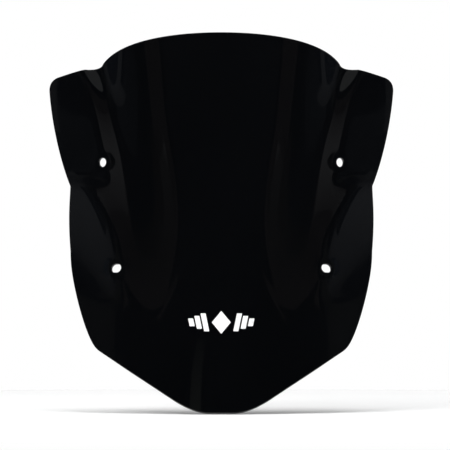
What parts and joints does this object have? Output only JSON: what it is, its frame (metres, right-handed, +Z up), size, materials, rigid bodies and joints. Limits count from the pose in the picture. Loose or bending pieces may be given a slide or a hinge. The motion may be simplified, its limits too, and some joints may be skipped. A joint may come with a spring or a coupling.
{
  "type": "windshield screen",
  "caption": "Formed smoked screen for a sport motorcycle, with a raised bubble, flared upper ears, steep side panels and four screw holes.",
  "frame": {"origin": "middle of the four hole centres, on the outer face", "axes": "+Z up, +X to the right as seen from ahead of the motorcycle, +Y to the rear"},
  "size_m": [0.3666, 0.1821, 0.3999],
  "materials": {
    "smoked_acrylic": "high gloss, smoked almost black",
    "emblem_vinyl": "satin white film"
  },
  "bodies": {
    "root": {"screen_panel": "smoked_acrylic", "emblem_lozenge": "emblem_vinyl", "emblem_bar_left_1": "emblem_vinyl", "emblem_bar_left_2": "emblem_vinyl", "emblem_bar_left_3": "emblem_vinyl", "emblem_bar_right_1": "emblem_vinyl", "emblem_bar_right_2": "emblem_vinyl", "emblem_bar_right_3": "emblem_vinyl"}
  },
  "joints": []
}
